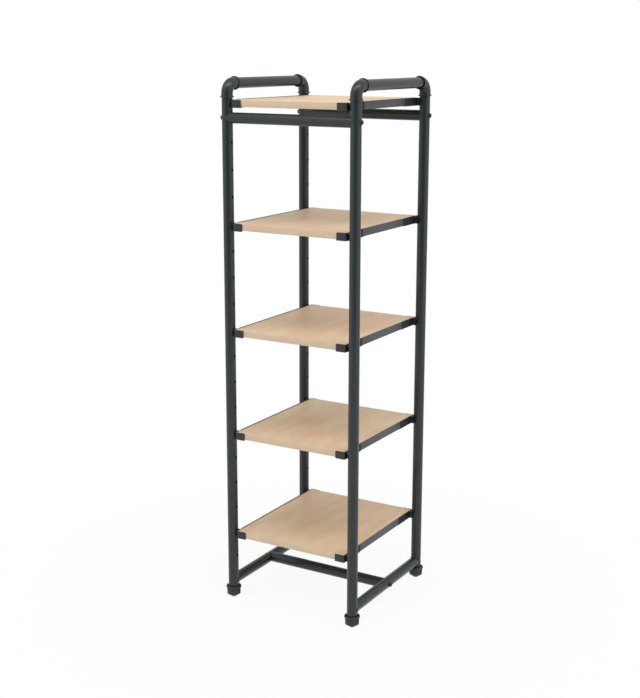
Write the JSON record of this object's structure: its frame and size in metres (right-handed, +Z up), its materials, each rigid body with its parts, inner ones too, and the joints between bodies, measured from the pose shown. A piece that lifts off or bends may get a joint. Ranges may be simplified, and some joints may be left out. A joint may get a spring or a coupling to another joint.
{
  "type": "pipe shelving unit",
  "caption": "Tall open shelving unit: round tube side frames with elbow-and-tube handles, bolted cross tubes, capped feet and wood shelves on pegged corner seats.",
  "frame": {"origin": "middle of the footprint on the floor, under the four foot pads", "axes": "+X along the front from the left side frame to the right one, +Y from front to rear, +Z up"},
  "size_m": [0.4448, 0.4448, 1.5078],
  "materials": {
    "frame_powder_coat": "satin powder coat, dark grey",
    "side_bar_steel": "satin paint, mid grey",
    "black_nylon": "moulded, near black",
    "pale_wood": "clear matt lacquer over a pale fine grain",
    "black_bolt_steel": "black oxide, satin"
  },
  "bodies": {
    "frame": {"post_front_left": "frame_powder_coat", "elbow_front_left": "frame_powder_coat", "foot_cap_front_left": "black_nylon", "post_rear_left": "frame_powder_coat", "elbow_rear_left": "frame_powder_coat", "foot_cap_rear_left": "black_nylon", "handle_tube_left": "frame_powder_coat", "base_rail_left": "frame_powder_coat", "post_front_right": "frame_powder_coat", "elbow_front_right": "frame_powder_coat", "foot_cap_front_right": "black_nylon", "post_rear_right": "frame_powder_coat", "elbow_rear_right": "frame_powder_coat", "foot_cap_rear_right": "black_nylon", "handle_tube_right": "frame_powder_coat", "base_rail_right": "frame_powder_coat", "top_cross_tube_front": "frame_powder_coat", "top_bolt_front_left": "black_bolt_steel", "top_bolt_front_right": "black_bolt_steel", "top_cross_tube_rear": "frame_powder_coat", "top_bolt_rear_left": "black_bolt_steel", "top_bolt_rear_right": "black_bolt_steel", "base_cross_rail": "frame_powder_coat", "base_bolt_left": "black_bolt_steel", "base_bolt_right": "black_bolt_steel", "shelf_1_seat_front_left": "black_nylon", "shelf_1_seat_front_right": "black_nylon", "shelf_1_seat_rear_left": "black_nylon", "shelf_1_seat_rear_right": "black_nylon", "shelf_2_seat_front_left": "black_nylon", "shelf_2_seat_front_right": "black_nylon", "shelf_2_seat_rear_left": "black_nylon", "shelf_2_seat_rear_right": "black_nylon", "shelf_3_seat_front_left": "black_nylon", "shelf_3_seat_front_right": "black_nylon", "shelf_3_seat_rear_left": "black_nylon", "shelf_3_seat_rear_right": "black_nylon", "shelf_4_seat_front_left": "black_nylon", "shelf_4_seat_front_right": "black_nylon", "shelf_4_seat_rear_left": "black_nylon", "shelf_4_seat_rear_right": "black_nylon", "shelf_5_seat_front_left": "black_nylon", "shelf_5_seat_front_right": "black_nylon", "shelf_5_seat_rear_left": "black_nylon", "shelf_5_seat_rear_right": "black_nylon"},
    "shelf_1_panel": {"shelf_1_board": "pale_wood", "shelf_1_side_bar_left": "side_bar_steel", "shelf_1_side_bar_right": "side_bar_steel"},
    "shelf_2_panel": {"shelf_2_board": "pale_wood", "shelf_2_side_bar_left": "side_bar_steel", "shelf_2_side_bar_right": "side_bar_steel"},
    "shelf_3_panel": {"shelf_3_board": "pale_wood", "shelf_3_side_bar_left": "side_bar_steel", "shelf_3_side_bar_right": "side_bar_steel"},
    "shelf_4_panel": {"shelf_4_board": "pale_wood", "shelf_4_side_bar_left": "side_bar_steel", "shelf_4_side_bar_right": "side_bar_steel"},
    "shelf_5_panel": {"shelf_5_board": "pale_wood", "shelf_5_side_bar_left": "side_bar_steel", "shelf_5_side_bar_right": "side_bar_steel"}
  },
  "joints": [
    {"name": "shelf_1_lift", "type": "slide", "parent": "frame", "child": "shelf_1_panel", "axis": [0, 0, 1], "range_m": [0, 0.04]},
    {"name": "shelf_2_lift", "type": "slide", "parent": "frame", "child": "shelf_2_panel", "axis": [0, 0, 1], "range_m": [0, 0.04]},
    {"name": "shelf_3_lift", "type": "slide", "parent": "frame", "child": "shelf_3_panel", "axis": [0, 0, 1], "range_m": [0, 0.04]},
    {"name": "shelf_4_lift", "type": "slide", "parent": "frame", "child": "shelf_4_panel", "axis": [0, 0, 1], "range_m": [0, 0.04]},
    {"name": "shelf_5_lift", "type": "slide", "parent": "frame", "child": "shelf_5_panel", "axis": [0, 0, 1], "range_m": [0, 0.04]}
  ]
}
